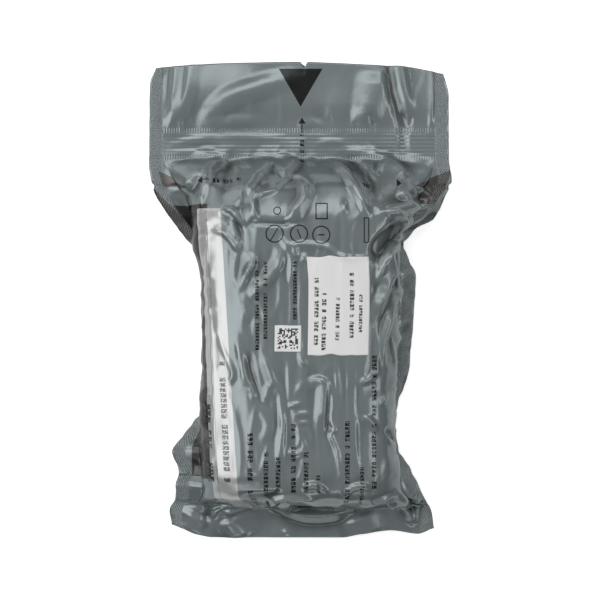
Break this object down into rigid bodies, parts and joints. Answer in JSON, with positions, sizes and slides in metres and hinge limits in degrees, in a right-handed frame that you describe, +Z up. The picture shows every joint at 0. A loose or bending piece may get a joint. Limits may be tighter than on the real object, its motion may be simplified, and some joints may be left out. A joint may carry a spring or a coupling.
{
  "type": "vacuum-packed trauma bandage",
  "caption": "Rolled elastic trauma dressing vacuum-sealed in a foil pouch, with gathered side seals, a flat header with a tear notch, and plain labels.",
  "frame": {"origin": "middle of the footprint, on the table that the back web lies on", "axes": "+X across the pouch to the right of its printed front, +Y along it towards the open header, +Z up, out of the printed front"},
  "size_m": [0.1048, 0.1652, 0.0305],
  "materials": {
    "printed_film": "semi-gloss printed laminate film, grey-green, creased where it is drawn tight",
    "back_film": "semi-gloss laminate film, dark brown-grey, embossed along its seals",
    "wrap_cloth": "matte elastic bandage cloth",
    "clip_plastic": "moulded plastic with a fine matte texture",
    "label_film": "matte white label stock"
  },
  "bodies": {
    "root": {"front_web": "printed_film", "back_web": "back_film", "bandage_roll": "wrap_cloth", "closure_clip": "clip_plastic", "data_label": "label_film", "code_label": "label_film"}
  },
  "joints": []
}
